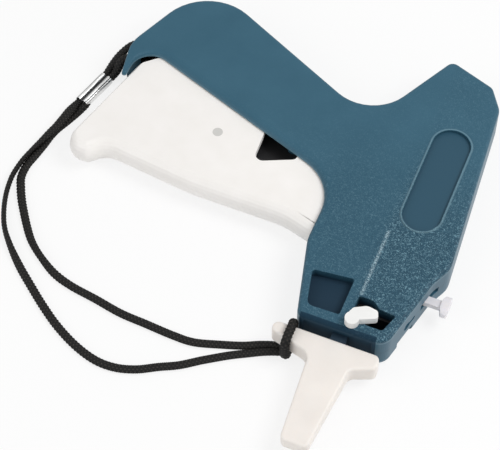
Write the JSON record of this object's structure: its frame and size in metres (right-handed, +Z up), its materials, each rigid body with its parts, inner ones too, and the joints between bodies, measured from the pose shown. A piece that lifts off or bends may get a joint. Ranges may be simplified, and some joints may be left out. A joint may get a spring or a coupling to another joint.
{
  "type": "garment tag attacher",
  "caption": "Pistol-shaped garment tag attacher lying on its side, with a trigger, a capped needle, a lock lever and a wrist cord tied to the cap.",
  "frame": {"origin": "middle of the footprint of the tool without its cord, on the table", "axes": "+Z up out of the table through the tool's thickness, -Y along the needle, -X towards the handle's side"},
  "size_m": [0.1609, 0.159, 0.018],
  "materials": {
    "body_plastic": "satin, fine leather grain",
    "white_plastic": "smooth",
    "lever_plastic": "smooth",
    "dark_plastic": "matt",
    "pin_steel": "ground",
    "spring_steel": "drawn wire",
    "ferrule_aluminium": "crimped",
    "cord_fabric": "braided"
  },
  "bodies": {
    "body": {"housing_upper": "body_plastic", "housing_lower": "body_plastic", "housing_screws": "pin_steel", "trigger_pivot_pin": "pin_steel", "drive_lever_pin": "pin_steel", "fastener_guide": "dark_plastic", "cutter_blade": "pin_steel", "feed_axle": "pin_steel", "needle_base": "dark_plastic", "needle": "pin_steel", "lanyard_ferrule": "ferrule_aluminium", "lanyard_bight": "cord_fabric", "lanyard_cord_outer": "cord_fabric", "lanyard_cord_inner": "cord_fabric"},
    "trigger": {"trigger": "white_plastic", "trigger_link_pin": "lever_plastic", "trigger_spring": "spring_steel"},
    "drive_lever": {"drive_lever": "dark_plastic"},
    "plunger": {"plunger_slide": "dark_plastic", "slide_drive_pin": "pin_steel", "push_rod": "spring_steel"},
    "feed_wheel": {"feed_wheel": "white_plastic"},
    "feed_pawl": {"feed_pawl": "spring_steel"},
    "release_knob": {"feed_release_knob": "lever_plastic"},
    "lock_lever": {"needle_lock_lever": "lever_plastic"},
    "cap": {"needle_cap": "white_plastic", "lanyard_hitch": "cord_fabric"}
  },
  "joints": [
    {"name": "trigger_squeeze", "type": "hinge", "parent": "body", "child": "trigger", "pos_m": [0.02583, 0.00191, 0.0075], "axis": [0, 0, -1], "range_deg": [0, 20], "stiffness_Nm_per_rad": 0.6, "springref_deg": -9.74},
    {"name": "lever_swing", "type": "hinge", "parent": "body", "child": "drive_lever", "pos_m": [0.00133, 0.02841, 0.0075], "axis": [0, 0, -1], "range_deg": [0, 44]},
    {"name": "plunger_stroke", "type": "slide", "parent": "body", "child": "plunger", "axis": [0, -1, 0], "range_m": [0, 0.04249]},
    {"name": "feed_wheel_turn", "type": "hinge", "parent": "body", "child": "feed_wheel", "pos_m": [0.05153, -0.01329, 0.0075], "axis": [0, 0, 1], "continuous": true},
    {"name": "feed_pawl_lift", "type": "hinge", "parent": "body", "child": "feed_pawl", "pos_m": [0.05883, -0.00149, 0.0075], "axis": [0, 0, 1], "range_deg": [0, 14], "stiffness_Nm_per_rad": 0.004, "springref_deg": -5.73},
    {"name": "release_knob_slide", "type": "slide", "parent": "body", "child": "release_knob", "axis": [0, 1, 0], "range_m": [-0.0015, 0.004]},
    {"name": "lock_lever_turn", "type": "hinge", "parent": "body", "child": "lock_lever", "pos_m": [0.04582, -0.03439, 0.0075], "axis": [0, 0, 1], "range_deg": [0, 65]},
    {"name": "cap_pull", "type": "slide", "parent": "body", "child": "cap", "axis": [0, -1, 0], "range_m": [0, 0.045]}
  ],
  "couplings": [
    {"joint": "lever_swing", "follows": "trigger_squeeze", "ratio": 2.2},
    {"joint": "plunger_stroke", "follows": "trigger_squeeze", "m_per_rad": 0.12172}
  ]
}
